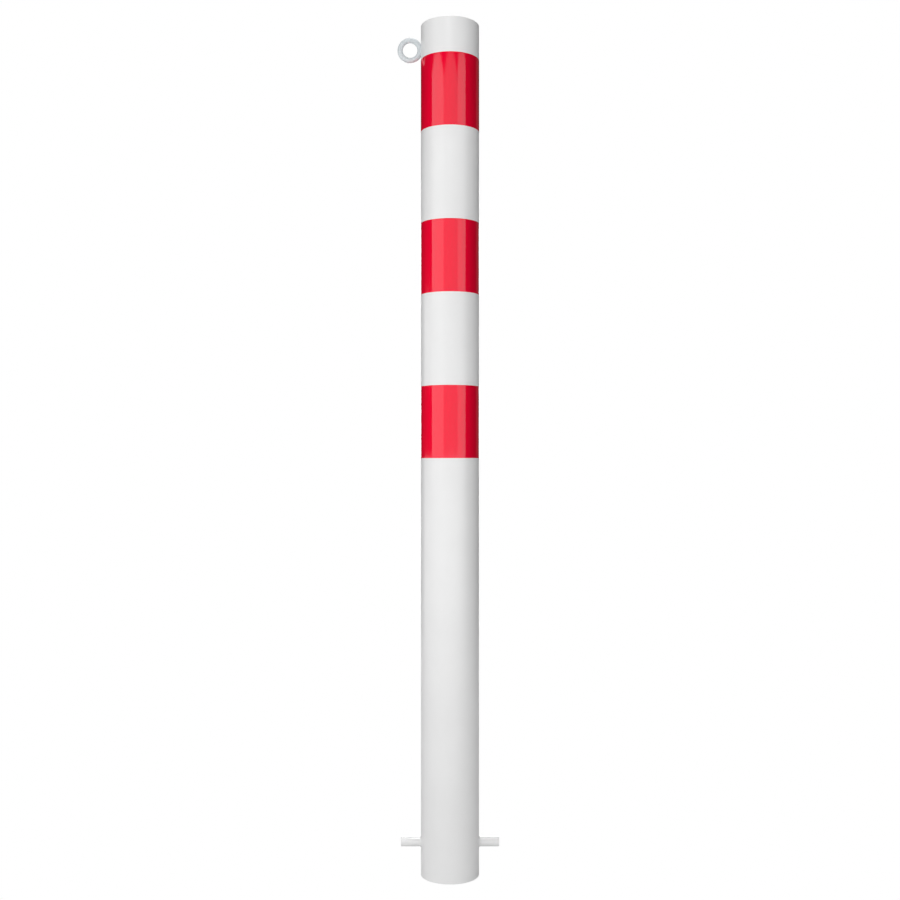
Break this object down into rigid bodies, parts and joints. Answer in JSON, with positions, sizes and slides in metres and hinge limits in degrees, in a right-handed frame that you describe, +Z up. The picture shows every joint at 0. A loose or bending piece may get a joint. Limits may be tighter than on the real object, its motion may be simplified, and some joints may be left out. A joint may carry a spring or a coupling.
{
  "type": "barrier post",
  "caption": "Round steel barrier post, white with red reflective bands, a chain ring welded near its top and an anchor bar through its foot for setting in concrete.",
  "frame": {"origin": "on the tube's axis, in the plane of the open foot; the box's centre is about 2.7 mm from that axis towards -X, where the ring reaches further out than the anchor bar", "axes": "+Z up along the tube's axis, -X towards the chain ring, the anchor bar along X, the ring's hole along Y"},
  "size_m": [0.1554, 0.0896, 1.3],
  "materials": {
    "white_coat": "white powder coat, smooth, semi-gloss",
    "galvanised": "hot-dip galvanised, pale and satin",
    "red_film": "glossy red retro-reflective film"
  },
  "bodies": {
    "root": {"post_tube": "white_coat", "top_plate": "white_coat", "top_plate_weld": "white_coat", "chain_ring": "galvanised", "ring_weld_front": "galvanised", "ring_weld_rear": "galvanised", "anchor_bar": "white_coat", "anchor_weld_left": "white_coat", "anchor_weld_right": "white_coat", "reflective_band_upper": "red_film", "reflective_band_middle": "red_film", "reflective_band_lower": "red_film"}
  },
  "joints": []
}
